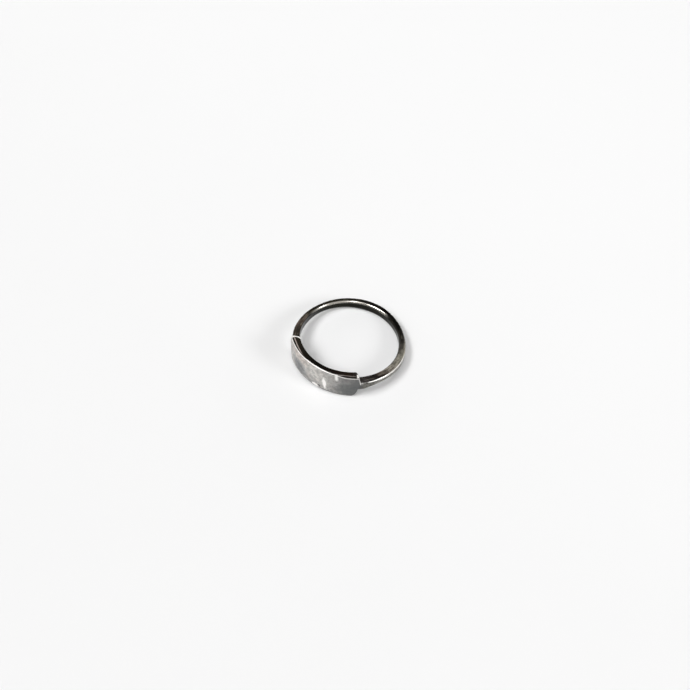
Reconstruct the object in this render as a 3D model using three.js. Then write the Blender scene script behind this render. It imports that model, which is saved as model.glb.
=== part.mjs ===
// A finger ring lying on its side: a thin rounded shank whose open front is closed by a wide curved plate.
// Millimetres, +Z up, the plate facing -Y. The origin is under the middle of the ring, on the surface that it
// rests on.
//
// The ring is one loop of cross-sections round the bore. A section's place is its turn, the angle in degrees
// from the middle of the plate. In it, radius runs out from the bore's axis, and height runs along that axis
// from the middle of the shank's width.

import * as THREE from 'three';
import { ParametricGeometry } from 'three/addons/geometries/ParametricGeometry.js';
import { mergeVertices } from 'three/addons/utils/BufferGeometryUtils.js';

const boreDiameter = 17.3;
const boreRadius = boreDiameter / 2;

// The shank is forged by hand and changes as it goes round. At each turn: how far the bore is out of round,
// the thickness across the radius, half the width along the finger, the easing of the inner edges, and how
// much of the upper side slopes away outwards, as a share of the thickness.
const shankForm = [
  { turn: -180, bulge: 0, thickness: 1.14, halfWidth: 0.88, innerEase: 0.42, crown: 0.22 },
  { turn: -155, bulge: 0, thickness: 1.08, halfWidth: 0.88, innerEase: 0.42, crown: 0.22 },
  { turn: -130, bulge: 0, thickness: 0.95, halfWidth: 0.84, innerEase: 0.4, crown: 0.22 },
  { turn: -105, bulge: 0, thickness: 0.89, halfWidth: 0.8, innerEase: 0.38, crown: 0.22 },
  { turn: -78, bulge: 0, thickness: 1.03, halfWidth: 0.88, innerEase: 0.2, crown: 0.22 },
  { turn: -58, bulge: 0, thickness: 1.22, halfWidth: 0.88, innerEase: 0.12, crown: 0.2 },
  { turn: 0, bulge: 0, thickness: 1.3, halfWidth: 0.84, innerEase: 0.12, crown: 0.4 },
  { turn: 52, bulge: 0, thickness: 1.42, halfWidth: 0.78, innerEase: 0.2, crown: 0.7 },
  { turn: 76, bulge: 0, thickness: 1.41, halfWidth: 0.76, innerEase: 0.36, crown: 0.7 },
  { turn: 98, bulge: 0, thickness: 1.45, halfWidth: 0.82, innerEase: 0.45, crown: 0.6 },
  { turn: 122, bulge: -0.03, thickness: 1.24, halfWidth: 0.88, innerEase: 0.42, crown: 0.45 },
  { turn: 137, bulge: -0.05, thickness: 1.06, halfWidth: 0.88, innerEase: 0.42, crown: 0.3 },
  { turn: 155, bulge: -0.05, thickness: 1.01, halfWidth: 0.88, innerEase: 0.42, crown: 0.22 },
  { turn: 180, bulge: 0, thickness: 1.14, halfWidth: 0.88, innerEase: 0.42, crown: 0.22 },
];
const innerEaseStretch = 1.3; // the easing reaches this much further along the finger than across
// How far the sloping part of the upper side falls, at the least crown and at the most.
const crownFall = { leastCrown: 0.22, least: 0.28, mostCrown: 0.7, most: 0.55 };
const shankLowerCorner = 0.4;

// Both edges of the plate's face are bent flatter than the bore, so the plate is thicker at its ends. For
// each: its thickness where the plate is thinnest and the radius to which it is bent.
const upperEdge = { thickness: 1.06, bend: 11.1 };
const lowerEdge = { thickness: 1.0, bend: 10.9 };
const thinnestTurn = 7; // the plate is thinnest a little to the right of its middle
const plate = {
  above: 2.12, // from the middle of the shank's width to the plate's upper side
  below: 3.0, // and to its lower side
  corner: 0.16,
};
const wornLowerEdge = { across: 0.2, along: 0.9 };
// Bevels filed off the plate's upper outer edge at its two ends. Each is full at one turn and gone at
// another.
const leftBevel = { across: 0.5, along: 0.22, full: -40, gone: -12 };
const rightBevel = { across: 0.3, along: 0.45, full: 34, gone: 22 };

// Turns between which the plate's outline falls to the shank's at its two ends, in degrees.
const upperStepOutside = { from: 46, to: 49.4 }; // crisp, cut nearly square
const upperStepInside = { from: 44.4, to: 50 }; // eased, where it touches the finger
const rightStepInside = { from: 40.5, to: 48.8, curve: 2.2 }; // the same at the right end, worn round
const lowerStep = { from: 39, to: 49.5 }; // rounded off
const rightLowerStep = { from: 37.8, to: 47, curve: 3.5 }; // the same at the right end, with a rounder corner
const lowerFillet = { from: 46, to: 64, rise: 0.5 }; // the solder that runs out along the shank
const cornerBlend = { from: 45, to: 50 }; // of the roundness of the section's corners
const faceBlend = { from: 46, to: 54 }; // of the outer face

// How finely half the ring is sectioned: each span ends at a turn and has that many steps.
const spans = [
  { to: 39, steps: 10 },
  { to: 45, steps: 6 },
  { to: 50, steps: 10 },
  { to: 64, steps: 7 },
  { to: 180, steps: 26 },
];
const stepsPerCorner = 5;
const weldDistance = 1e-4; // points closer than this become one, which closes the loop

const silver = new THREE.MeshStandardMaterial({ color: 0x6b6863, roughness: 0.35, metalness: 1 });

const { clamp, lerp, smoothstep, inverseLerp, degToRad } = THREE.MathUtils;

// The shank's form at any turn, read smoothly between the rows of its table.
const formColumns = ['bulge', 'thickness', 'halfWidth', 'innerEase', 'crown'];
const formCurve = new THREE.CubicInterpolant(
  shankForm.map((row) => row.turn),
  shankForm.flatMap((row) => formColumns.map((column) => row[column])),
  formColumns.length,
);

function shankAt(turn) {
  const values = formCurve.evaluate(turn);
  return Object.fromEntries(formColumns.map((column, at) => [column, values[at]]));
}

// 1 on the plate, falling smoothly to 0 on the shank between a step's two turns.
const plateShare = (turn, step) => 1 - smoothstep(Math.abs(turn), step.from, step.to);

// The same where the right end has a step of its own, which falls along a power curve as a worn corner does.
function plateShareByEnd(turn, leftStep, rightStep) {
  if (turn < 0) {
    return plateShare(turn, leftStep);
  }
  const along = clamp(inverseLerp(rightStep.from, rightStep.to, turn), 0, 1);
  return 1 - along ** rightStep.curve;
}

// How far out the plate's face stands along one of its edges: an arc about a centre behind the bore's axis.
function faceAt(turn, edge) {
  const setBack = edge.bend - boreRadius - edge.thickness;
  const away = degToRad(turn - thinnestTurn);
  const sideways = setBack * Math.sin(away);
  return Math.sqrt(edge.bend ** 2 - sideways ** 2) - setBack * Math.cos(away);
}

// The four corners of the section at a turn, in the order of the walk round it: outer top, inner top, inner
// bottom and outer bottom. Each is a quarter of an ellipse about a centre, with radii across and along.
function cornersAt(turn) {
  const shank = shankAt(turn);
  const upperOutside = plateShare(turn, upperStepOutside);
  const upperInside = plateShareByEnd(turn, upperStepInside, rightStepInside);
  const lower = plateShareByEnd(turn, lowerStep, rightLowerStep);
  const fillet = plateShare(turn, lowerFillet);
  const square = plateShare(turn, cornerBlend);
  const face = plateShare(turn, faceBlend);
  const leftEnd = 1 - smoothstep(turn, leftBevel.full, leftBevel.gone);
  const rightEnd = smoothstep(turn, rightBevel.gone, rightBevel.full);

  const inner = boreRadius + shank.bulge;
  const shankFace = inner + shank.thickness;
  const outerAbove = lerp(shankFace, faceAt(turn, upperEdge), face);
  const outerBelow = lerp(shankFace, faceAt(turn, lowerEdge), face);
  const topOutside = lerp(shank.halfWidth, plate.above, upperOutside);
  const topInside = lerp(shank.halfWidth, plate.above, upperInside);
  const lowerRise = plate.below - shank.halfWidth - lowerFillet.rise;
  const bottom = -(shank.halfWidth + lowerRise * lower + lowerFillet.rise * fillet);

  const sloping = clamp(inverseLerp(crownFall.leastCrown, crownFall.mostCrown, shank.crown), 0, 1);
  const bevelAcross = lerp(lerp(plate.corner, leftBevel.across, leftEnd), rightBevel.across, rightEnd);
  const bevelAlong = lerp(lerp(plate.corner, leftBevel.along, leftEnd), rightBevel.along, rightEnd);
  const topAcross = lerp(shank.thickness * shank.crown, bevelAcross, square);
  const topAlong = lerp(lerp(crownFall.least, crownFall.most, sloping), bevelAlong, square);
  const easeAcross = lerp(shank.innerEase, plate.corner, square);
  const easeAlong = lerp(shank.innerEase * innerEaseStretch, plate.corner, square);
  const wornAcross = lerp(shankLowerCorner, wornLowerEdge.across, square);
  const wornAlong = lerp(shankLowerCorner, wornLowerEdge.along, square);

  return [
    { radius: outerAbove - topAcross, height: topOutside - topAlong, across: topAcross, along: topAlong },
    { radius: inner + easeAcross, height: topInside - easeAlong, across: easeAcross, along: easeAlong },
    { radius: inner + easeAcross, height: bottom + easeAlong, across: easeAcross, along: easeAlong },
    { radius: outerBelow - wornAcross, height: bottom + wornAlong, across: wornAcross, along: wornAlong },
  ];
}

// Points round one section, corner by corner.
function sectionPoints(turn) {
  const points = [];
  cornersAt(turn).forEach((corner, quarter) => {
    for (let step = 0; step <= stepsPerCorner; step += 1) {
      const angle = (quarter + step / stepsPerCorner) * Math.PI / 2;
      points.push({
        radius: corner.radius + corner.across * Math.cos(angle),
        height: corner.height + corner.along * Math.sin(angle),
      });
    }
  });
  return points;
}

// Every turn that has a section, from behind the ring round through the plate and back.
function sectionTurns() {
  const half = [0];
  let from = 0;
  for (const span of spans) {
    for (let step = 1; step <= span.steps; step += 1) {
      half.push(lerp(from, span.to, step / span.steps));
    }
    from = span.to;
  }
  const otherHalf = half.slice(1).map((turn) => -turn).reverse();
  return [...otherHalf, ...half];
}

function ringGeometry() {
  const turns = sectionTurns();
  const sections = turns.map(sectionPoints);
  const slices = turns.length - 1;
  const stacks = sections[0].length;
  const placePoint = (acrossTurns, roundSection, target) => {
    const at = Math.round(acrossTurns * slices);
    const point = sections[at][Math.round(roundSection * stacks) % stacks];
    const angle = degToRad(turns[at]);
    target.set(point.radius * Math.sin(angle), -point.radius * Math.cos(angle), point.height);
  };
  const surface = new ParametricGeometry(placePoint, slices, stacks);
  surface.deleteAttribute('normal');
  surface.deleteAttribute('uv');
  const closed = mergeVertices(surface, weldDistance);
  closed.computeVertexNormals();
  return closed;
}

// The plate reaches lower than the shank, so the ring leans: it stands on the inner lower edge of the plate's
// ends and on the outer lower edge of the shank behind.
function restingLean() {
  const back = shankAt(180);
  const plateContact = (boreRadius + plate.corner) * Math.cos(degToRad(lowerStep.from));
  const backContact = boreRadius + back.thickness - shankLowerCorner;
  return Math.atan((plate.below - back.halfWidth) / (plateContact + backContact));
}

const ring = new THREE.Mesh(ringGeometry(), silver);
ring.name = 'ring';
ring.rotation.x = -restingLean();
ring.updateMatrixWorld();

const reach = new THREE.Box3().setFromObject(ring, true);
ring.position.x = -(reach.min.x + reach.max.x) / 2;
ring.position.y = -(reach.min.y + reach.max.y) / 2;
ring.position.z = -reach.min.z;

const group = new THREE.Group();
group.add(ring);

export default group;
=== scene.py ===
# A tarnished silver finger ring lying on a pale floor: a thin rounded shank closed in front by a wide plate.
# Metres in the scene. Sizes in the dictionaries are millimetres and degrees, and the plate faces -Y.
import math
from types import SimpleNamespace

import bpy
from mathutils import Matrix, Vector


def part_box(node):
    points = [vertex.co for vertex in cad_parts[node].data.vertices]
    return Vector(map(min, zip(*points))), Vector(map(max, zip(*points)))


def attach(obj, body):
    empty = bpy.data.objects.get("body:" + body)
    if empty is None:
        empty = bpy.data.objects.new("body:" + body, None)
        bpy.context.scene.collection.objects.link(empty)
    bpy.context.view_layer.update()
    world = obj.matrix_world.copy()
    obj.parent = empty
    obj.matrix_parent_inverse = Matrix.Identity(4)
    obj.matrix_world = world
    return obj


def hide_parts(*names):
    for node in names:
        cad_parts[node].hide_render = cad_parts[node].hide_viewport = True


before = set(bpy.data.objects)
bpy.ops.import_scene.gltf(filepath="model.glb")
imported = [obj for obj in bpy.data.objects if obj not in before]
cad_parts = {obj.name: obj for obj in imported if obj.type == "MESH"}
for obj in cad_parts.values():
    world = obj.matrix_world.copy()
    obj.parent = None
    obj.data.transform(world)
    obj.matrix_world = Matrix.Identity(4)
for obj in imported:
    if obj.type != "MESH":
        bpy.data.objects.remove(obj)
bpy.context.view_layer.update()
print("frame loaded")

millimetre = 0.001


def findSocket(sockets, key):
    # A socket by its number, or the first one in use that has this name.
    if isinstance(key, int):
        return sockets[key]
    return next(socket for socket in sockets if socket.enabled and socket.name == key)


class Wire:
    # One output of a node, which can stand in plain sums: each operator adds a Math node.
    def __init__(self, graph, socket):
        self.graph = graph
        self.socket = socket

    def other(self, key):
        return Wire(self.graph, findSocket(self.socket.node.outputs, key))

    def __add__(self, term):
        return self.graph.maths("ADD", self, term)

    def __radd__(self, term):
        return self.graph.maths("ADD", term, self)

    def __sub__(self, term):
        return self.graph.maths("SUBTRACT", self, term)

    def __rsub__(self, term):
        return self.graph.maths("SUBTRACT", term, self)

    def __mul__(self, term):
        return self.graph.maths("MULTIPLY", self, term)

    def __rmul__(self, term):
        return self.graph.maths("MULTIPLY", term, self)

    def __truediv__(self, term):
        return self.graph.maths("DIVIDE", self, term)

    def __neg__(self):
        return self.graph.maths("MULTIPLY", self, -1.0)


class Graph:
    # A node tree that is put together in Python.
    def __init__(self, tree):
        self.tree = tree

    def add(self, kind, settings=None, values=None, out=0):
        node = self.tree.nodes.new(kind)
        for name, value in (settings or {}).items():
            if name == "stops":
                ramp = node.color_ramp.elements
                while len(ramp) < len(value):
                    ramp.new(0.5)
                for stop, (position, tint) in zip(ramp, value):
                    stop.position = position
                    stop.color = tint
            elif name == "curve":
                node.mapping.use_clip = False
                points = node.mapping.curves[0].points
                while len(points) < len(value):
                    points.new(0.5, 0.5)
                for point, place in zip(points, value):
                    point.location = place
                node.mapping.update()
            else:
                setattr(node, name, value)
        for key, value in (values or {}).items():
            socket = findSocket(node.inputs, key)
            if isinstance(value, Wire):
                self.tree.links.new(value.socket, socket)
            else:
                socket.default_value = value
        return Wire(self, findSocket(node.outputs, out)) if node.outputs else node

    def maths(self, operation, *terms):
        return self.add("ShaderNodeMath", {"operation": operation}, dict(enumerate(terms)))

    def slide(self, value, low, high, kind="LINEAR"):
        # 0 at low, 1 at high, held outside them.
        return self.add(
            "ShaderNodeMapRange",
            {"interpolation_type": kind, "clamp": True} if kind == "LINEAR" else {"interpolation_type": kind},
            {"Value": value, "From Min": low, "From Max": high},
        )

    def ease(self, value, low, high):
        return self.slide(value, low, high, "SMOOTHSTEP")

    def between(self, value, start, rise, fall, end):
        # 1 from rise to fall, easing to 0 at start and end.
        return self.ease(value, start, rise) * (1 - self.ease(value, fall, end))

    def noise(self, where, scale, detail, roughness, seed):
        return self.add(
            "ShaderNodeTexNoise",
            {"noise_dimensions": "4D"},
            {
                "Vector": where,
                "W": seed,
                "Scale": scale,
                "Detail": detail,
                "Roughness": roughness,
            },
        )

    def blend(self, share, first, second):
        # The first colour at 0 and the second at 1.
        return self.add(
            "ShaderNodeMix",
            {"data_type": "RGBA"},
            {"Factor": share, "A": first, "B": second},
            out="Result",
        )

    def vector(self, x, y, z):
        return self.add("ShaderNodeCombineXYZ", None, {"X": x, "Y": y, "Z": z})


def mixed(first, second, share):
    return first + (second - first) * share


def colour(red, green, blue):
    return (red, green, blue, 1.0)


# The ring's shape. Radii run out from the bore's axis, heights along it from the middle of the shank's
# width, and a turn is the angle round the bore from the middle of the plate.
ringSizes = {
    "boreRadius": 8.65,
    "leastCrown": 0.22,  # between these two crowns the upper side comes to slope further down
    "mostCrown": 0.7,
    "outerCornerAlong": 0.28,  # how far it falls at the least crown, and at the most
    "crownDrop": 0.55,
    "innerEaseStretch": 1.3,  # the inner easing reaches this much further along the finger than across
    "lowerCornerAcross": 0.4,
    "upperThickness": 1.06,  # the plate's upper edge where it is thinnest, and the radius to which it is bent
    "upperBend": 11.1,
    "lowerThickness": 1.0,
    "lowerBend": 10.9,
    "thinnestTurn": 7.0,
    "plateAbove": 2.12,
    "plateBelow": 3.0,
    "plateCorner": 0.16,
    "leftBevelAcross": 0.5,  # bevels filed off the plate's upper outer edge at its two ends
    "leftBevelAlong": 0.22,
    "leftBevelFull": -40.0,
    "leftBevelGone": -12.0,
    "rightBevelAcross": 0.3,
    "rightBevelAlong": 0.45,
    "rightBevelFull": 34.0,
    "rightBevelGone": 22.0,
    "bevelFlatness": 0.85,  # 0 is a round edge and 1 a flat cut
    "lowerRoundAcross": 0.2,  # the worn lower outer edge of the plate
    "lowerRoundAlong": 0.9,
    "upperStepFrom": 46.0,
    "upperStepTo": 49.4,
    "innerStepFrom": 44.4,
    "innerStepTo": 50.0,
    "rightInnerFrom": 43.5,  # at the right end the inner corner is worn round
    "rightInnerTo": 48.6,
    "rightInnerCurve": 2.2,
    "lowerStepFrom": 39.0,
    "lowerStepTo": 49.5,
    "rightLowerFrom": 37.8,
    "rightLowerTo": 47.0,
    "rightLowerCurve": 3.5,
    "filletFrom": 46.0,
    "filletTo": 64.0,
    "filletRise": 0.5,
    "cornerBlendFrom": 45.0,
    "cornerBlendTo": 50.0,
    "faceBlendFrom": 46.0,
    "faceBlendTo": 54.0,
    "waviness": 0.03,  # hand work: slow waves over the whole ring
    "dents": 0.02,  # shallow dents in the plate's face
    "fileMarks": 0.004,
    "nickDepth": 0.08,  # one knock near the plate's lower edge
    "seed": 11.0,
    "sections": 900,  # round the ring
}

# Where that hand work lies. Four numbers are where it starts, is full, begins to fade and is gone. A
# noise has a scale, a detail and a roughness.
handWork = {
    "waves": (0.22, 1.0, 0.4),
    "dents": (0.7, 2.0, 0.5),
    "fileMarks": (3.0, 2.0, 0.6),
    "fileStroke": (0.9, 0.5),  # how fast the file marks change with turn and with height
    "fileMarksEnd": (160.0, 178.0),  # they fade out between these turns, so that the loop closes
    "faceOutward": (0.3, 0.9),  # where the section faces outwards enough to be the plate's face
    "nickTurns": (-0.8, 1.2, 2.6, 4.8),
    "nickHeights": (-2.95, -2.7, -2.5, -2.25),
}

# The shank is forged by hand and changes as it goes round: how far the bore stands out of round, the
# thickness, half the width, the easing of the inner edges, and how much of the upper side slopes away
# outwards, as a share of the thickness.
shankForm = [
    {"turn": -180, "bulge": 0, "thickness": 1.14, "halfWidth": 0.88, "innerEase": 0.42, "crown": 0.22},
    {"turn": -155, "bulge": 0, "thickness": 1.08, "halfWidth": 0.88, "innerEase": 0.42, "crown": 0.22},
    {"turn": -130, "bulge": 0, "thickness": 0.95, "halfWidth": 0.84, "innerEase": 0.4, "crown": 0.22},
    {"turn": -105, "bulge": 0, "thickness": 0.89, "halfWidth": 0.8, "innerEase": 0.38, "crown": 0.22},
    {"turn": -78, "bulge": 0, "thickness": 1.03, "halfWidth": 0.88, "innerEase": 0.2, "crown": 0.22},
    {"turn": -58, "bulge": 0, "thickness": 1.22, "halfWidth": 0.88, "innerEase": 0.12, "crown": 0.2},
    {"turn": 0, "bulge": 0, "thickness": 1.3, "halfWidth": 0.84, "innerEase": 0.12, "crown": 0.4},
    {"turn": 52, "bulge": 0, "thickness": 1.42, "halfWidth": 0.78, "innerEase": 0.2, "crown": 0.7},
    {"turn": 76, "bulge": 0, "thickness": 1.41, "halfWidth": 0.76, "innerEase": 0.36, "crown": 0.7},
    {"turn": 98, "bulge": 0, "thickness": 1.45, "halfWidth": 0.82, "innerEase": 0.45, "crown": 0.6},
    {"turn": 122, "bulge": -0.03, "thickness": 1.24, "halfWidth": 0.88, "innerEase": 0.42, "crown": 0.45},
    {"turn": 137, "bulge": -0.05, "thickness": 1.06, "halfWidth": 0.88, "innerEase": 0.42, "crown": 0.3},
    {"turn": 155, "bulge": -0.05, "thickness": 1.01, "halfWidth": 0.88, "innerEase": 0.42, "crown": 0.22},
    {"turn": 180, "bulge": 0, "thickness": 1.14, "halfWidth": 0.88, "innerEase": 0.42, "crown": 0.22},
]
formScale = 2.0  # the most that a column above may hold

# How many faces each stretch of a section has, in the order they are walked.
sectionWalk = {
    "outerTop": 10,
    "upperSide": 8,
    "innerTop": 8,
    "innerSide": 18,
    "innerBottom": 8,
    "lowerSide": 8,
    "outerBottom": 10,
    "outerSide": 26,
}
crowding = 0.6  # how much closer the sections stand near the plate's two ends, from 0 to 1
weldDistance = 0.0005  # points closer than this become one, which closes the loop


# Where the middle of the bore stands in the frame.
ringPlace = {"x": -0.2509, "y": 0.0471, "z": 2.0897}


def ringLean():
    # Both the plate's lower edge and the back of the shank touch the floor.
    drop = ringSizes["plateBelow"] - shankForm[0]["halfWidth"]
    stepTurn = math.radians(ringSizes["lowerStepFrom"])
    plateReach = (ringSizes["boreRadius"] + ringSizes["plateCorner"]) * math.cos(stepTurn)
    backReach = ringSizes["boreRadius"] + shankForm[0]["thickness"] - ringSizes["lowerCornerAcross"]
    return math.atan2(drop, plateReach + backReach)


def ringTree(material):
    tree = bpy.data.node_groups.new("ringShape", "GeometryNodeTree")
    graph = Graph(tree)
    for name, value in ringSizes.items():
        kind = "NodeSocketInt" if isinstance(value, int) else "NodeSocketFloat"
        tree.interface.new_socket(name, in_out="INPUT", socket_type=kind)
    tree.interface.new_socket("Geometry", in_out="OUTPUT", socket_type="NodeSocketGeometry")
    given = graph.add("NodeGroupInput")
    size = {name: given.other(name) for name in ringSizes}

    steps = sum(sectionWalk.values())
    sheet = graph.add(
        "GeometryNodeMeshGrid",
        None,
        {"Size X": 2.0, "Size Y": float(steps), "Vertices X": size["sections"] + 1, "Vertices Y": steps + 1},
        out="Mesh",
    )
    place = graph.add("ShaderNodeSeparateXYZ", None, {0: graph.add("GeometryNodeInputPosition")})
    along = place.other("X")  # from -1 to 1 round the ring
    walk = place.other("Y") + steps / 2  # from 0 to steps round the section

    # Sections stand closer together near the plate's two ends.
    crowded = graph.maths("SINE", along * (4 * math.pi)) * (crowding / (4 * math.pi))
    turn = (along + crowded) * 180
    fromMiddle = graph.maths("ABSOLUTE", turn)

    def share(name):
        return 1 - graph.ease(fromMiddle, size[name + "From"], size[name + "To"])

    def shareByEnd(leftName, rightName):
        # The right end has steps of its own, which are worn round.
        worn = graph.slide(turn, size[rightName + "From"], size[rightName + "To"])
        rightShare = 1 - graph.maths("POWER", worn, size[rightName + "Curve"])
        return mixed(share(leftName), rightShare, graph.maths("GREATER_THAN", turn, 0.0))

    upperOutside = share("upperStep")
    upperInside = shareByEnd("innerStep", "rightInner")
    lower = shareByEnd("lowerStep", "rightLower")
    fillet = share("fillet")
    square = share("cornerBlend")
    face = share("faceBlend")
    leftEnd = 1 - graph.ease(turn, size["leftBevelFull"], size["leftBevelGone"])
    rightEnd = graph.ease(turn, size["rightBevelGone"], size["rightBevelFull"])

    angle = turn * math.radians(1)
    fromThinnest = (turn - size["thinnestTurn"]) * math.radians(1)

    def faceAt(edge):
        # Both edges of the plate's face are arcs about a centre set back behind the bore's axis.
        bend = size[edge + "Bend"]
        setBack = bend - size["boreRadius"] - size[edge + "Thickness"]
        sideways = setBack * graph.maths("SINE", fromThinnest)
        toFace = graph.maths("SQRT", bend * bend - sideways * sideways)
        return toFace - setBack * graph.maths("COSINE", fromThinnest)

    def formed(column):
        curve = [((row["turn"] + 180) / 360, row[column] / formScale) for row in shankForm]
        return graph.add("ShaderNodeFloatCurve", {"curve": curve}, {"Value": (turn + 180) / 360}) * formScale

    thickness, halfWidth = formed("thickness"), formed("halfWidth")
    innerEase, crown = formed("innerEase"), formed("crown")
    inner = size["boreRadius"] + formed("bulge")
    shankFace = inner + thickness
    outerAbove = mixed(shankFace, faceAt("upper"), face)
    outerBelow = mixed(shankFace, faceAt("lower"), face)
    topOutside = mixed(halfWidth, size["plateAbove"], upperOutside)
    topInside = mixed(halfWidth, size["plateAbove"], upperInside)
    lowerRise = size["plateBelow"] - halfWidth - size["filletRise"]
    bottom = -(halfWidth + lowerRise * lower + size["filletRise"] * fillet)

    # Radii of the corners: the shank's, and the plate's where the section is square.
    sloping = graph.slide(crown, size["leastCrown"], size["mostCrown"])
    outerAlong = mixed(size["outerCornerAlong"], size["crownDrop"], sloping)
    eased = (
        mixed(innerEase, size["plateCorner"], square),
        mixed(innerEase * size["innerEaseStretch"], size["plateCorner"], square),
    )
    filedOff = []
    for way in ("Across", "Along"):
        leftFiled = mixed(size["plateCorner"], size["leftBevel" + way], leftEnd)
        filedOff.append(mixed(leftFiled, size["rightBevel" + way], rightEnd))
    bevel = (
        mixed(thickness * crown, filedOff[0], square),
        mixed(outerAlong, filedOff[1], square),
    )
    worn = (
        mixed(size["lowerCornerAcross"], size["lowerRoundAcross"], square),
        mixed(size["lowerCornerAcross"], size["lowerRoundAlong"], square),
    )

    # Centre and radii of each corner's quarter of an ellipse, from the outer top on round the section.
    corners = [
        (outerAbove - bevel[0], topOutside - bevel[1], *bevel),
        (inner + eased[0], topInside - eased[1], *eased),
        (inner + eased[0], bottom + eased[1], *eased),
        (outerBelow - worn[0], bottom + worn[1], *worn),
    ]
    reached = 0
    ramps = {}
    for name, count in sectionWalk.items():
        ramps[name] = graph.slide(walk, float(reached), float(reached + count))
        reached += count
    swing = ramps["outerTop"] + ramps["innerTop"] + ramps["innerBottom"] + ramps["outerBottom"]
    outward = graph.maths("COSINE", swing * (math.pi / 2))
    upward = graph.maths("SINE", swing * (math.pi / 2))

    def walked(part):
        value = corners[0][part]
        for side, following in zip(("upperSide", "innerSide", "lowerSide", "outerSide"), (1, 2, 3, 0)):
            value = mixed(value, corners[following][part], ramps[side])
        return value

    # The bevel is filed flat, not round.
    inOuterTop = graph.maths("LESS_THAN", walk, sectionWalk["outerTop"] + 0.5)
    onBevel = inOuterTop * (leftEnd + rightEnd) * square * size["bevelFlatness"]
    reachOut = mixed(outward, 1 - ramps["outerTop"], onBevel)
    reachUp = mixed(upward, ramps["outerTop"], onBevel)
    radius = walked(0) + walked(2) * reachOut
    height = walked(1) + walked(3) * reachUp

    sine, cosine = graph.maths("SINE", angle), graph.maths("COSINE", angle)

    def placed(radius, height):
        return graph.vector(radius * sine, -(radius * cosine), height)

    # Uneven hand work, along the section's own outward direction.
    spot = placed(radius, height)
    turnStroke, heightStroke = handWork["fileStroke"]
    strokes = graph.vector(turn * turnStroke, height * heightStroke, radius)
    wave = graph.noise(spot, *handWork["waves"], size["seed"]) - 0.5
    dent = graph.noise(spot, *handWork["dents"], size["seed"] + 3.0) - 0.5
    filed = graph.noise(strokes, *handWork["fileMarks"], size["seed"] + 7.0) - 0.5
    filed = filed * (1 - graph.ease(fromMiddle, *handWork["fileMarksEnd"]))
    onFace = face * graph.ease(outward, *handWork["faceOutward"])
    nick = graph.between(turn, *handWork["nickTurns"]) * graph.between(height, *handWork["nickHeights"])
    push = (wave * size["waviness"] + dent * size["dents"] * onFace + filed * size["fileMarks"]) * 2
    push = push - nick * onFace * size["nickDepth"]
    finished = placed(radius + push * outward, height + push * upward)
    leaning = graph.add(
        "ShaderNodeVectorRotate",
        {"rotation_type": "X_AXIS"},
        {"Vector": finished, "Angle": -ringLean()},
    )
    metres = graph.add("ShaderNodeVectorMath", {"operation": "SCALE"}, {0: leaning, "Scale": millimetre})

    # Millimetres over the upper outer edge, less than 0 down the face, and how far past the bevel that
    # is. It changes from one to the other in the middle of the inner side.
    bevelWidth = graph.maths("SQRT", bevel[0] * bevel[0] + bevel[1] * bevel[1])
    topWidth = outerAbove - bevel[0] - inner - eased[0]
    comingBack = graph.maths("GREATER_THAN", ramps["innerSide"], 0.5)
    overTop = ramps["outerTop"] * bevelWidth + ramps["upperSide"] * topWidth
    overEdge = mixed(overTop, height - corners[0][1], comingBack)

    kept = {
        "turn": turn,
        "height": height,
        "outward": outward,
        "upward": upward,
        "plate": face,
        "stepDown": 1 - upperOutside,
        "bevel": (leftEnd + rightEnd) * square,
        "overEdge": overEdge,
        "pastBevel": overEdge - bevelWidth,
        "across": (radius - inner) / (outerAbove - inner),
    }
    shape = sheet
    for name, value in kept.items():
        shape = graph.add(
            "GeometryNodeStoreNamedAttribute",
            {"data_type": "FLOAT", "domain": "CORNER"},
            {"Geometry": shape, "Name": name, "Value": value},
        )
    shape = graph.add("GeometryNodeSetPosition", None, {"Geometry": shape, "Position": metres})
    weld = weldDistance * millimetre
    shape = graph.add("GeometryNodeMergeByDistance", None, {"Geometry": shape, "Distance": weld})
    shape = graph.add("GeometryNodeSetShadeSmooth", None, {0: shape})
    shape = graph.add("GeometryNodeRealizeInstances", None, {0: shape})
    shape = graph.add("GeometryNodeSetMaterial", None, {0: shape, "Material": material})
    graph.add("NodeGroupOutput", None, {0: shape})
    return tree


def buildRing(material):
    blank = bpy.data.objects.new("ringBlank", bpy.data.meshes.new("ringBlank"))
    bpy.context.scene.collection.objects.link(blank)
    modifier = blank.modifiers.new("ringShape", "NODES")
    modifier.node_group = ringTree(material)
    for item in modifier.node_group.interface.items_tree:
        if item.in_out == "INPUT":
            modifier[item.identifier] = ringSizes[item.name]
    evaluated = blank.evaluated_get(bpy.context.evaluated_depsgraph_get())
    mesh = bpy.data.meshes.new_from_object(evaluated)
    mesh.name = "silverRing"
    blank.modifiers.clear()
    bpy.data.objects.remove(blank)

    # It stands as the solid does: round the same axis and on the floor.
    lowest = min(vertex.co.z for vertex in mesh.vertices)
    place = (ringPlace["x"] * millimetre, ringPlace["y"] * millimetre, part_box("ring")[0].z - lowest)
    mesh.transform(Matrix.Translation(place))
    ring = bpy.data.objects.new("silverRing", mesh)
    bpy.context.scene.collection.objects.link(ring)
    return ring


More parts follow.
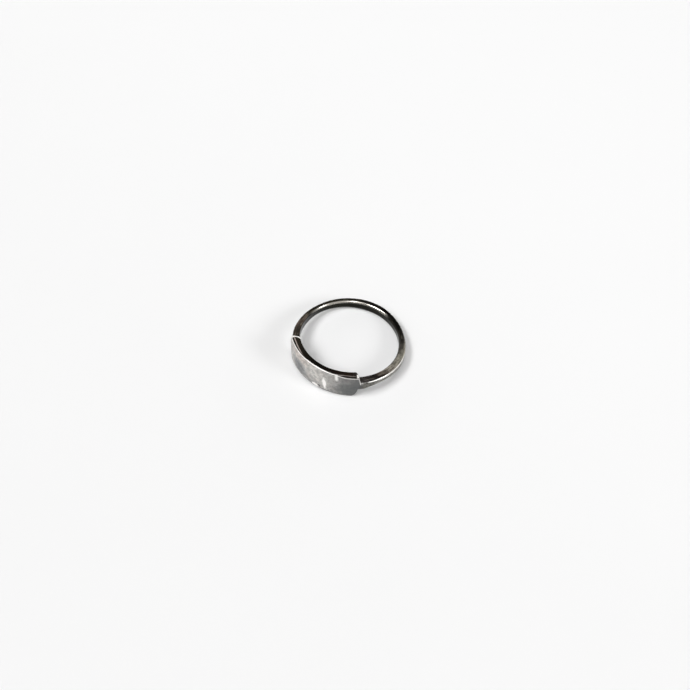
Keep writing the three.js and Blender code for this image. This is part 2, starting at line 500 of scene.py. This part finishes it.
ringFinish = {
    "tarnishAndShade": colour(0.03, 0.027, 0.023),
    "innerTarnish": colour(0.014, 0.0135, 0.0105),
    "rubbedShank": colour(0.16, 0.155, 0.14),
    "polishedShank": colour(0.55, 0.54, 0.51),
    "rubbedCorner": colour(0.7, 0.665, 0.61),
    "satinSilver": colour(0.6, 0.585, 0.56),
    "warmSilver": colour(0.62, 0.54, 0.5),
    "shadedSilver": colour(0.105, 0.111, 0.112),
    "bareSilverAndHighlight": colour(0.95, 0.93, 0.905),
    "warmHighlight": colour(0.64, 0.55, 0.5),
    "paleStreak": colour(0.36, 0.33, 0.27),
    "polish": 0.17,  # roughness of the shank
    "satin": 0.36,  # roughness of the plate's face
    "filed": 0.34,  # roughness of bare cuts and scratches
    # Glare makes the painted highlights on the edges and cuts matt, so that they show bright under any lamp.
    "glare": 0.8,  # how matt the bare edges and cuts are
    "diagonal": 10.0,  # how far, in degrees of turn, the tarnish slants across the upper side
    "drift": 12.0,  # how far, in degrees of turn, its clouds wander
    "roughSpread": 0.16,
    "bump": 0.4,  # fine grain in the surface: its strength, and its depth in millimetres
    "bumpDepth": 0.004,
}

# The tarnish on the upper side by turn: its colour, and how matt it is. The pale olive stops from 74 to 114
# are tarnish with a painted reflection, a sheen made matt so that it shows under any lamp.
topTarnishAndSheen = [
    (-165, colour(0.03, 0.028, 0.024), 0.1),
    (-148, colour(0.05, 0.046, 0.034), 0.35),
    (-122, colour(0.055, 0.05, 0.037), 0.4),
    (-98, colour(0.04, 0.036, 0.026), 0.35),
    (-84, colour(0.09, 0.078, 0.06), 0.7),
    (-76, colour(0.18, 0.135, 0.11), 0.8),
    (-68, colour(0.1, 0.08, 0.062), 0.7),
    (-60, colour(0.07, 0.055, 0.042), 0.6),
    (-48, colour(0.05, 0.04, 0.03), 0.6),
    (-25, colour(0.028, 0.022, 0.015), 0.5),
    (0, colour(0.012, 0.01, 0.008), 0.3),
    (40, colour(0.034, 0.019, 0.014), 0.5),
    (50, colour(0.075, 0.068, 0.068), 0.6),
    (58, colour(0.05, 0.042, 0.04), 0.5),
    (66, colour(0.035, 0.027, 0.026), 0.4),
    (74, colour(0.12, 0.09, 0.076), 0.6),
    (82, colour(0.3, 0.27, 0.23), 0.85),
    (102, colour(0.33, 0.315, 0.26), 0.85),
    (114, colour(0.19, 0.178, 0.148), 0.7),
    (130, colour(0.05, 0.047, 0.04), 0.4),
    (145, colour(0.03, 0.028, 0.025), 0.1),
]

# Marks on the plate's face: the turn of the middle and half the width in degrees, the height of the
# middle and half the height, how softly the mark fades, its colour and its strength.
faceMarks = {
    "warmLeft": (-22.0, 17.0, 1.1, 0.9, 0.9, colour(0.74, 0.65, 0.59), 0.6),
    "greyPatch": (-23.0, 12.0, -1.4, 1.1, 0.8, colour(0.18, 0.192, 0.205), 0.75),
    "lightMiddle": (-1.0, 10.0, 0.6, 1.2, 0.9, colour(0.72, 0.7, 0.66), 0.6),
    "lowShade": (-10.0, 11.0, -2.15, 0.4, 0.9, colour(0.22, 0.22, 0.22), 0.55),
    "endShade": (47.0, 7.5, 0.4, 1.7, 0.8, colour(0.06, 0.062, 0.06), 0.6),
    "warmRight": (35.0, 10.0, 1.2, 0.6, 0.9, colour(0.36, 0.32, 0.315), 0.5),
    # Painted reflection: a lighter band along the worn lower edge, standing for the floor that it reflects.
    "paintedLowReflection": (4.0, 24.0, -2.85, 0.22, 0.8, colour(0.8, 0.79, 0.77), 0.7),
    "knockShade": (6.4, 1.7, -2.3, 0.28, 0.5, colour(0.1, 0.1, 0.1), 0.9),
}

# Scratches and a knock that show bare silver, in the same order but with no colour.
bareMarks = {
    "longStreak": (11.8, 1.9, -1.1, 1.2, 0.7, 1.0),
    "shortStreak": (24.3, 1.7, 1.35, 0.7, 1.2, 0.85),
    "knock": (1.6, 4.0, -2.58, 0.36, 0.4, 1.0),
}


# Noises in the material: scale, detail, roughness and seed. The streaks are drawn out round the shank and
# the scratches along the plate's face, at the rates below.
ringNoises = {
    "mottle": (1500.0, 3.0, 0.6, 7.0),
    "hue": (1100.0, 2.0, 0.5, 13.0),
    "grain": (2600.0, 3.0, 0.6, 5.0),
    "speck": (6500.0, 2.0, 0.5, 9.0),
    "wander": (900.0, 3.0, 0.6, 4.0),
    "streak": (1.0, 2.0, 0.6, 3.0),
    "scratch": (1.5, 3.0, 0.6, 17.0),
}
streakRate = {"across": 4.0, "round": 5.0}
scratchRate = {"turn": 1.6, "height": 0.6}

# Where the material changes. Two numbers are where a mask starts and where it is full. Four are where it
# starts, is full, begins to fade and is gone. Turns are in degrees, and heights and distances in
# millimetres. Outward and upward are the two parts of the surface's direction. Across runs from the inner
# side, 0, to the outer, 1.
ringMasks = {
    "faceOutward": (0.5, 0.95),
    "outerHalfOutward": (-0.6, -0.3),
    "topUpward": (0.3, 0.8),
    "topTintUpward": (0.1, 0.5),
    "insideInward": (0.5, 0.9),
    "innerLineAcross": (0.1, 0.28),
    "innerLineTurns": (72.0, 92.0, 146.0, 158.0),
    "cloudNoise": (0.42, 0.56),
    "paleStreakNoise": (0.52, 0.64),
    "backEdgeRight": (164.0, 178.0),
    "backEdgeLeft": (-108.0, -88.0),
    "innerEdgeCorner": (0.24, 0.46),
    "outsideOutward": (0.8, 0.93),
    "polishedTurns": (58.0, 76.0, 116.0, 150.0),
    "wornNoise": (0.4, 0.52),
    "lowLineOverEdge": (-0.5, -0.36, -0.1, 0.0),
    "lowLineTurns": (62.0, 72.0, 104.0, 118.0),
    "warmNoise": (0.42, 0.66),
    "upperHalfHeight": (-1.2, 1.4),
    "lowestDepth": (2.5, 2.8),
    "rightTurns": (4.0, 36.0),
    "mottleNoise": (0.36, 0.62),
    "speckNoise": (0.22, 0.38),
    "bevelFrom": (0.0, 0.4),
    "bevelOverEdge": (0.02, 0.1),
    "bevelPast": (-0.1, 0.0),
    "insideLinePast": (-0.13, -0.06, 0.02, 0.09),
    "insideLineBevel": (0.1, 0.5),
    "insideLineRight": (0.0, 10.0),
    "insideLineOverEdge": (0.0, 0.05),
    "widerTurns": (-16.0, -6.0, 4.0, 22.0),
    "edgeLineStart": (-0.07, -0.03),
    "edgeLineEnd": (0.1, 0.15),
    "edgeLineRight": (20.0, 38.0),
    "edgeLineOutward": (0.0, 0.1),
    "seamWidth": (-1.6, -1.1, 0.9, 1.4),
    "seamUpward": (0.2, 0.6),
    "seamLeft": (0.0, 1.0),
    "cutWidth": (-0.42, -0.32, 0.32, 0.42),
    "cutTurns": (44.6, 45.2, 48.4, 49.3),
    "shankEdgeUpward": (0.24, 0.36, 0.5, 0.6),
    "shankEdgeOutward": (0.1, 0.3),
    "shankEdgeTurns": (48.5, 49.5, 96.0, 116.0),
    "shankEdgeNoise": (0.25, 0.4),
    "shankEdgeDuller": (64.0, 71.0),
    "shankEdgeGap": (50.5, 52.5, 55.5, 59.0),
    "markOutward": (0.1, 0.5),
    "glareUpward": (0.0, 0.35),
}

# How strongly each part of the pattern shows or holds another back, from 0 to 1.
ringShares = {
    "streaksInClouds": 0.6,
    "streaksInWear": 0.5,
    "clouds": 0.7,
    "paleStreak": 0.35,
    "innerLine": 0.9,
    "innerLineMatt": 0.7,
    "leastWorn": 0.35,
    "lowShadeLine": 0.85,
    "warm": 0.35,
    "upperHalf": 0.3,
    "lowest": 0.5,
    "towardRight": 0.92,
    "mottle": 0.45,
    "insideLineLeft": 0.75,
    "insideLineRight": 0.12,
    "edgeLineRight": 0.6,
    "shankEdgeDuller": 0.7,
    "shankEdgeGap": 0.6,
    "speckBump": 0.5,
}

# How the marks and edges stray from plain shapes. The tilt is degrees of turn per millimetre of height.
ringStray = {
    "markTilt": 0.9,
    "markWander": 0.8,
    "markScratch": 1.1,
    "markGrain": 0.7,
    "upperHalf": 2.0,
    "towardRight": 24.0,
    "wider": 0.08,
    "edgeWidth": 0.06,
}

# The seam at the left step: its turns at the inner and the outer side, and its arch between them.
seamPlace = {"inner": 41.8, "outer": 45.0, "arch": 2.2}


def readSurface(graph):
    # The fields kept on the mesh, the noises, and the sides that the surface has.
    at = SimpleNamespace()
    fields = ["turn", "height", "across", "outward", "upward", "plate", "stepDown"]
    for name in fields + ["bevel", "overEdge", "pastBevel"]:
        settings = {"attribute_type": "GEOMETRY", "attribute_name": name}
        setattr(at, name, graph.add("ShaderNodeAttribute", settings, out="Fac"))

    angle = at.turn * math.radians(1)
    sine = graph.maths("SINE", angle) * streakRate["round"]
    cosine = graph.maths("COSINE", angle) * streakRate["round"]
    roundShank = graph.vector(at.across * streakRate["across"], sine, cosine)
    alongFace = graph.vector(at.turn * scratchRate["turn"], at.height * scratchRate["height"], 0.0)
    drawnOut = {"streak": roundShank, "scratch": alongFace}
    spot = graph.add("ShaderNodeTexCoord", out="Object")
    for name, settings in ringNoises.items():
        setattr(at, name, graph.noise(drawnOut.get(name, spot), *settings))
    at.wander = at.wander - 0.5

    at.shank = 1 - at.plate
    at.onFace = graph.ease(at.outward, *ringMasks["faceOutward"]) * at.plate
    at.outerHalf = graph.ease(at.outward, *ringMasks["outerHalfOutward"])
    return at


def addTarnishAndSheen(graph, at):
    # Black inside, and clouded on the upper side, where the pale olive stretch at the right also holds
    # painted reflection. It gives the colour and how matt that is.
    dark = ringFinish["tarnishAndShade"]
    slant = (0.5 - at.across) * ringFinish["diagonal"]
    lap = (at.turn + at.wander * ringFinish["drift"] + slant + 180) / 360
    colourStops = [((turn + 180) / 360, tint) for turn, tint, matt in topTarnishAndSheen]
    mattStops = [((turn + 180) / 360, colour(matt, matt, matt)) for turn, tint, matt in topTarnishAndSheen]
    topTint = graph.add("ShaderNodeValToRGB", {"stops": colourStops}, {"Fac": lap})
    matt = graph.add("ShaderNodeValToRGB", {"stops": mattStops}, {"Fac": lap})

    top = graph.ease(at.upward, *ringMasks["topUpward"])
    innerLine = 1 - graph.ease(at.across, *ringMasks["innerLineAcross"])
    innerLine = innerLine * graph.between(at.turn, *ringMasks["innerLineTurns"])
    mattness = graph.add("ShaderNodeSeparateColor", None, {"Color": matt}) * top
    mattness = mattness * (1 - innerLine * ringShares["innerLineMatt"])

    streaks = ringShares["streaksInClouds"]
    clouds = graph.ease(at.mottle * (1 - streaks) + at.streak * streaks, *ringMasks["cloudNoise"])
    topTint = graph.blend((1 - clouds) * ringShares["clouds"], topTint, dark)
    pale = graph.ease(at.streak, *ringMasks["paleStreakNoise"]) * at.shank * ringShares["paleStreak"]
    topTint = graph.blend(pale, topTint, ringFinish["paleStreak"])
    topTint = graph.blend(innerLine * ringShares["innerLine"], topTint, dark)
    tint = graph.blend(graph.ease(at.upward, *ringMasks["topTintUpward"]), dark, topTint)
    inside = graph.ease(-at.outward, *ringMasks["insideInward"])
    return graph.blend(inside, tint, ringFinish["innerTarnish"]), mattness


def rubInnerEdge(graph, at, tint):
    # The inner upper edge of the shank is rubbed behind and round to the left.
    right = graph.ease(at.turn, *ringMasks["backEdgeRight"])
    left = 1 - graph.ease(at.turn, *ringMasks["backEdgeLeft"])
    corner = graph.ease(-at.outward * at.upward, *ringMasks["innerEdgeCorner"])
    rubbed = corner * graph.maths("MAXIMUM", right, left)
    return graph.blend(rubbed * at.shank, tint, ringFinish["rubbedCorner"])


def rubAndShadeOuterSide(graph, at, tint):
    # The outer side of the shank is rubbed, with painted shade along its lower edge, standing for the floor's
    # shadow that it reflects.
    outside = graph.ease(at.outward, *ringMasks["outsideOutward"]) * at.shank
    polished = graph.between(at.turn, *ringMasks["polishedTurns"])
    silver = graph.blend(polished, ringFinish["rubbedShank"], ringFinish["polishedShank"])
    streaks = ringShares["streaksInWear"]
    wear = graph.ease(at.grain * (1 - streaks) + at.streak * streaks, *ringMasks["wornNoise"])
    least = ringShares["leastWorn"]
    tint = graph.blend(outside * (least + wear * (1 - least)), tint, silver)
    lowShadeLine = graph.between(at.overEdge, *ringMasks["lowLineOverEdge"])
    lowShadeLine = lowShadeLine * graph.between(at.turn, *ringMasks["lowLineTurns"])
    # Painted shade: the dark tarnish colour is laid along the lower edge.
    return graph.blend(outside * lowShadeLine * ringShares["lowShadeLine"], tint, ringFinish["tarnishAndShade"])


def markedAt(graph, at, middle, halfTurn, level, halfHeight, fade):
    # 1 inside an uneven patch, easing to 0 outside it.
    roam = ringStray["markWander"]
    tilt = (at.height - level) * ringStray["markTilt"]
    away = (at.turn - middle + tilt + at.wander * halfTurn * roam) / halfTurn
    off = (at.height - level + at.wander * halfHeight * roam) / halfHeight
    reach = graph.maths("SQRT", away * away + off * off)
    reach = reach + (at.scratch - 0.5) * ringStray["markScratch"] + (at.grain - 0.5) * ringStray["markGrain"]
    return 1 - graph.ease(reach, 1 - fade / 2, 1 + fade / 2)


def coverFace(graph, at, tint):
    # The plate's face: satin, mottled, darker and cooler towards its right end.
    warm = graph.ease(at.hue, *ringMasks["warmNoise"]) * ringShares["warm"]
    satin = graph.blend(warm, ringFinish["satinSilver"], ringFinish["warmSilver"])
    for *where, markColour, strength in faceMarks.values():
        satin = graph.blend(markedAt(graph, at, *where) * strength, satin, markColour)
    upperHalf = graph.ease(at.height + at.wander * ringStray["upperHalf"], *ringMasks["upperHalfHeight"])
    # Painted reflection: the lowest strip is darkened less towards the right end, standing for the floor that
    # it reflects.
    lowest = graph.ease(-at.height, *ringMasks["lowestDepth"])
    toRight = graph.ease(at.turn + at.wander * ringStray["towardRight"], *ringMasks["rightTurns"])
    toRight = toRight * (1 - upperHalf * ringShares["upperHalf"]) * (1 - lowest * ringShares["lowest"])
    satin = graph.blend(toRight * ringShares["towardRight"], satin, ringFinish["shadedSilver"])
    mottled = (1 - graph.ease(at.mottle, *ringMasks["mottleNoise"])) * ringShares["mottle"]
    satin = graph.blend(mottled, satin, ringFinish["shadedSilver"])
    return graph.blend(at.onFace * graph.ease(at.speck, *ringMasks["speckNoise"]), tint, satin)


def darkenBevel(graph, at, tint):
    # A dark bevel at each end of the plate's upper outer edge. It gives the painted highlight line inside it
    # as well, warm and matt.
    onBevel = graph.slide(at.bevel, *ringMasks["bevelFrom"])
    onBevel = onBevel * graph.ease(at.overEdge, *ringMasks["bevelOverEdge"]) * at.outerHalf
    onBevel = onBevel * (1 - graph.ease(at.pastBevel, *ringMasks["bevelPast"]))
    tint = graph.blend(onBevel, tint, ringFinish["tarnishAndShade"])
    toRight = graph.ease(at.turn, *ringMasks["insideLineRight"])
    line = graph.between(at.pastBevel, *ringMasks["insideLinePast"])
    line = line * graph.slide(at.bevel, *ringMasks["insideLineBevel"]) * at.plate * at.outerHalf
    line = line * mixed(ringShares["insideLineLeft"], ringShares["insideLineRight"], toRight)
    line = line * graph.ease(at.overEdge, *ringMasks["insideLineOverEdge"])
    return graph.blend(line, tint, ringFinish["warmHighlight"]), line


def edgeHighlightOn(graph, at):
    # A painted highlight in matt bare silver along the plate's upper outer edge, wider near its middle.
    width = graph.between(at.turn, *ringMasks["widerTurns"]) * ringStray["wider"]
    width = width + (at.mottle - 0.5) * ringStray["edgeWidth"]
    line = at.plate * graph.ease(at.overEdge, *ringMasks["edgeLineStart"])
    line = line * (1 - graph.ease(at.overEdge - width, *ringMasks["edgeLineEnd"]))
    line = line * mixed(1.0, ringShares["edgeLineRight"], graph.ease(at.turn, *ringMasks["edgeLineRight"]))
    return line * graph.ease(at.outward, *ringMasks["edgeLineOutward"])


def seamHighlightOn(graph, at):
    # The seam between the plate and the shank at the left step, painted as a bright arch of highlight.
    arch = at.across * (1 - at.across) * 4
    fromSeam = -at.turn - mixed(seamPlace["inner"], seamPlace["outer"], at.across) - arch * seamPlace["arch"]
    seam = graph.between(fromSeam, *ringMasks["seamWidth"]) * graph.ease(at.upward, *ringMasks["seamUpward"])
    return seam * graph.ease(-at.turn, *ringMasks["seamLeft"])


def cutHighlightOn(graph, at):
    # The cut at the right step, painted as a bright highlight line, which runs from the bevel's inner side
    # down to its outer side.
    fromCut = at.overEdge * at.stepDown + at.pastBevel * (1 - at.stepDown)
    cut = graph.between(fromCut, *ringMasks["cutWidth"]) * graph.between(at.turn, *ringMasks["cutTurns"])
    return cut * at.outerHalf


def shankEdgeHighlightOn(graph, at):
    # A painted highlight along the rubbed upper outer edge of the shank at the right, with a duller stretch
    # in it.
    edge = graph.between(at.upward, *ringMasks["shankEdgeUpward"])
    edge = edge * graph.ease(at.outward, *ringMasks["shankEdgeOutward"]) * at.shank
    edge = edge * graph.between(at.turn, *ringMasks["shankEdgeTurns"])
    edge = edge * graph.ease(at.grain, *ringMasks["shankEdgeNoise"])
    duller = graph.ease(at.turn, *ringMasks["shankEdgeDuller"])
    edge = edge * mixed(1.0, ringShares["shankEdgeDuller"], duller)
    return edge * (1 - graph.between(at.turn, *ringMasks["shankEdgeGap"]) * ringShares["shankEdgeGap"])


def ringMaterial():
    material = bpy.data.materials.new("tarnishedSilver")
    material.use_nodes = True
    material.node_tree.nodes.clear()
    graph = Graph(material.node_tree)
    at = readSurface(graph)
    tint, mattness = addTarnishAndSheen(graph, at)
    tint = rubInnerEdge(graph, at, tint)
    tint = rubAndShadeOuterSide(graph, at, tint)
    tint = coverFace(graph, at, tint)
    tint, insideHighlight = darkenBevel(graph, at, tint)

    cut, edgeHighlight = cutHighlightOn(graph, at), edgeHighlightOn(graph, at)
    bareAndHighlights = graph.maths("MAXIMUM", seamHighlightOn(graph, at), cut)
    bareAndHighlights = graph.maths("MAXIMUM", bareAndHighlights, edgeHighlight)
    bareAndHighlights = graph.maths("MAXIMUM", bareAndHighlights, shankEdgeHighlightOn(graph, at))
    onMarks = graph.ease(at.outward, *ringMasks["markOutward"])
    for *where, strength in bareMarks.values():
        mark = markedAt(graph, at, *where) * at.plate * onMarks * strength
        bareAndHighlights = graph.maths("MAXIMUM", bareAndHighlights, mark)
    # Bare silver on the scratches and the knock, and painted highlights on the seam, the cut and the upper
    # outer edges.
    tint = graph.blend(bareAndHighlights, tint, ringFinish["bareSilverAndHighlight"])

    roughness = mixed(ringFinish["polish"], ringFinish["satin"], at.onFace)
    roughness = roughness + (at.grain - 0.5) * ringFinish["roughSpread"]
    roughness = mixed(roughness, ringFinish["filed"], bareAndHighlights)
    # Upward bare marks and the cut and edge highlight lines are made matt, so that the painted highlights
    # show bright.
    glare = graph.maths("MAXIMUM", bareAndHighlights, insideHighlight) * graph.ease(at.upward, *ringMasks["glareUpward"])
    glare = graph.maths("MAXIMUM", glare, graph.maths("MAXIMUM", cut, edgeHighlight))
    mattness = mixed(mattness, ringFinish["glare"], glare)
    bump = graph.add(
        "ShaderNodeBump",
        None,
        {
            "Strength": ringFinish["bump"],
            "Distance": ringFinish["bumpDepth"] * millimetre,
            "Height": at.grain + at.speck * ringShares["speckBump"],
        },
    )
    shader = graph.add(
        "ShaderNodeBsdfPrincipled",
        None,
        {"Base Color": tint, "Metallic": 1 - mattness, "Roughness": roughness, "Normal": bump},
    )
    graph.add("ShaderNodeOutputMaterial", None, {"Surface": shader})
    return material


ring = buildRing(ringMaterial())
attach(ring, "root")
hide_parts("ring")
print("ring made:", len(ring.data.polygons), "faces")


# The table it lies on, painted lighter towards the back as if more light fell there.
floorLook = {
    "side": 3.0,
    "near": colour(0.836, 0.838, 0.843),
    "far": colour(0.892, 0.895, 0.901),
    "change": (-0.08, 0.11),  # metres along Y between which the near colour becomes the far one
    "noise": (40.0, 2.0, 0.5, 1.0),  # scale, detail, roughness and seed
    "unevenness": 0.03,
    "roughness": 0.9,
    "shine": 0.1,
}


def buildFloor():
    half = floorLook["side"] / 2
    mesh = bpy.data.meshes.new("floor")
    corners = [(-half, -half, 0), (half, -half, 0), (half, half, 0), (-half, half, 0)]
    mesh.from_pydata(corners, [], [(0, 1, 2, 3)])
    material = bpy.data.materials.new("paleFloor")
    material.use_nodes = True
    material.node_tree.nodes.clear()
    graph = Graph(material.node_tree)
    spot = graph.add("ShaderNodeTexCoord", out="Object")
    soft = graph.noise(spot, *floorLook["noise"]) * floorLook["unevenness"]
    behind = graph.add("ShaderNodeSeparateXYZ", None, {"Vector": spot}).other("Y")
    farShare = graph.ease(behind + soft, *floorLook["change"])
    tint = graph.blend(farShare, floorLook["near"], floorLook["far"])
    shader = graph.add(
        "ShaderNodeBsdfPrincipled",
        None,
        {"Base Color": tint, "Roughness": floorLook["roughness"], "Specular IOR Level": floorLook["shine"]},
    )
    graph.add("ShaderNodeOutputMaterial", None, {"Surface": shader})
    mesh.materials.append(material)
    floor = bpy.data.objects.new("floor", mesh)
    bpy.context.scene.collection.objects.link(floor)
    return floor


floor = buildFloor()

# Lamps, by the turn round the ring that each stands at, how high it stands in degrees, its width in
# degrees as seen from the ring, and the share of the floor's light that it gives.
lamps = {
    "keyLamp": {"turn": 342.0, "rise": 54.5, "width": 20.0, "share": 0.235},
    "leftLamp": {"turn": 309.0, "rise": 60.0, "width": 17.0, "share": 0.185},
    "frontPanel": {"turn": 39.0, "rise": 60.0, "width": 18.0, "share": 0.17},
    "sideLamp": {"turn": 102.0, "rise": 28.0, "width": 19.0, "share": 0.12},
    "overheadPanel": {"turn": 219.0, "rise": 88.0, "width": 30.0, "share": 0.1},
}
lampDistance = 3.0
floorLight = 3.52  # watts for each square metre on the floor, the part that the room gives among them


def buildLamp(name, look):
    side = 2 * lampDistance * math.tan(math.radians(look["width"] / 2))
    turn, rise = math.radians(look["turn"]), math.radians(look["rise"])
    direction = Vector((math.sin(turn) * math.cos(rise), -math.cos(turn) * math.cos(rise), math.sin(rise)))
    light = bpy.data.lights.new(name, "AREA")
    light.shape = "DISK"
    light.size = side
    light.energy = floorLight * look["share"] * lampDistance ** 2 * math.pi / math.sin(rise)
    lamp = bpy.data.objects.new(name, light)
    lamp.location = direction * lampDistance
    lamp.rotation_euler = direction.to_track_quat("Z", "Y").to_euler()
    bpy.context.scene.collection.objects.link(lamp)


for name, look in lamps.items():
    buildLamp(name, look)

# The room is pale in front and low down behind, with a dark wall over that.
room = {
    "turn": 39.0,
    "pale": 0.24,
    "low": 1.03,
    "dark": 0.012,
    "tint": colour(1.02, 1.0, 0.965),
    "wallFoot": (0.36, 0.5),  # heights, as sines, between which the low part becomes the dark wall
    "frontStart": (-0.2, 0.15),  # how far ahead, as cosines, the pale front takes over
}


def buildRoom():
    world = bpy.data.worlds.new("studio")
    world.use_nodes = True
    world.node_tree.nodes.clear()
    graph = Graph(world.node_tree)
    turn = math.radians(room["turn"])
    direction = graph.add("ShaderNodeTexCoord", out="Generated")
    ahead = graph.add(
        "ShaderNodeVectorMath",
        {"operation": "DOT_PRODUCT"},
        {0: direction, 1: (math.sin(turn), -math.cos(turn), 0)},
        out="Value",
    )
    upward = graph.add("ShaderNodeSeparateXYZ", None, {"Vector": direction}).other("Z")
    behind = mixed(room["low"], room["dark"], graph.ease(upward, *room["wallFoot"]))
    strength = mixed(behind, room["pale"], graph.ease(ahead, *room["frontStart"]))
    background = graph.add("ShaderNodeBackground", None, {"Color": room["tint"], "Strength": strength})
    graph.add("ShaderNodeOutputWorld", None, {"Surface": background})
    bpy.context.scene.world = world


buildRoom()

# The camera looks at the middle of the bore, down over the right end of the plate.
view = {
    "turn": 39.09,
    "rise": 54.66,
    "roll": -1.27,
    "distance": 300.0,
    "lens": 90.1,
    "across": -0.73,
    "up": -0.56,
    "sensor": 36.0,
    "nearest": 0.01,  # metres
    "farthest": 10.0,
}


def buildCamera():
    turn, rise, roll = (math.radians(view[name]) for name in ("turn", "rise", "roll"))
    back = Vector((math.sin(turn) * math.cos(rise), -math.cos(turn) * math.cos(rise), math.sin(rise)))
    level = Vector((math.cos(turn), math.sin(turn), 0))
    upright = back.cross(level)
    right = level * math.cos(roll) + upright * math.sin(roll)
    up = upright * math.cos(roll) - level * math.sin(roll)
    aim = Vector(tuple(ringPlace.values())) + right * view["across"] + up * view["up"]
    spot = aim + back * view["distance"]
    data = bpy.data.cameras.new("camera")
    data.lens = view["lens"]
    data.sensor_width = view["sensor"]
    data.clip_start = view["nearest"]
    data.clip_end = view["farthest"]
    camera = bpy.data.objects.new("camera", data)
    axes = Matrix((right, up, back)).transposed()
    camera.matrix_world = Matrix.Translation(spot * millimetre) @ axes.to_4x4()
    bpy.context.scene.collection.objects.link(camera)
    bpy.context.scene.camera = camera


buildCamera()
bpy.context.scene.view_settings.view_transform = "Standard"
print("floor, lamps and camera placed")
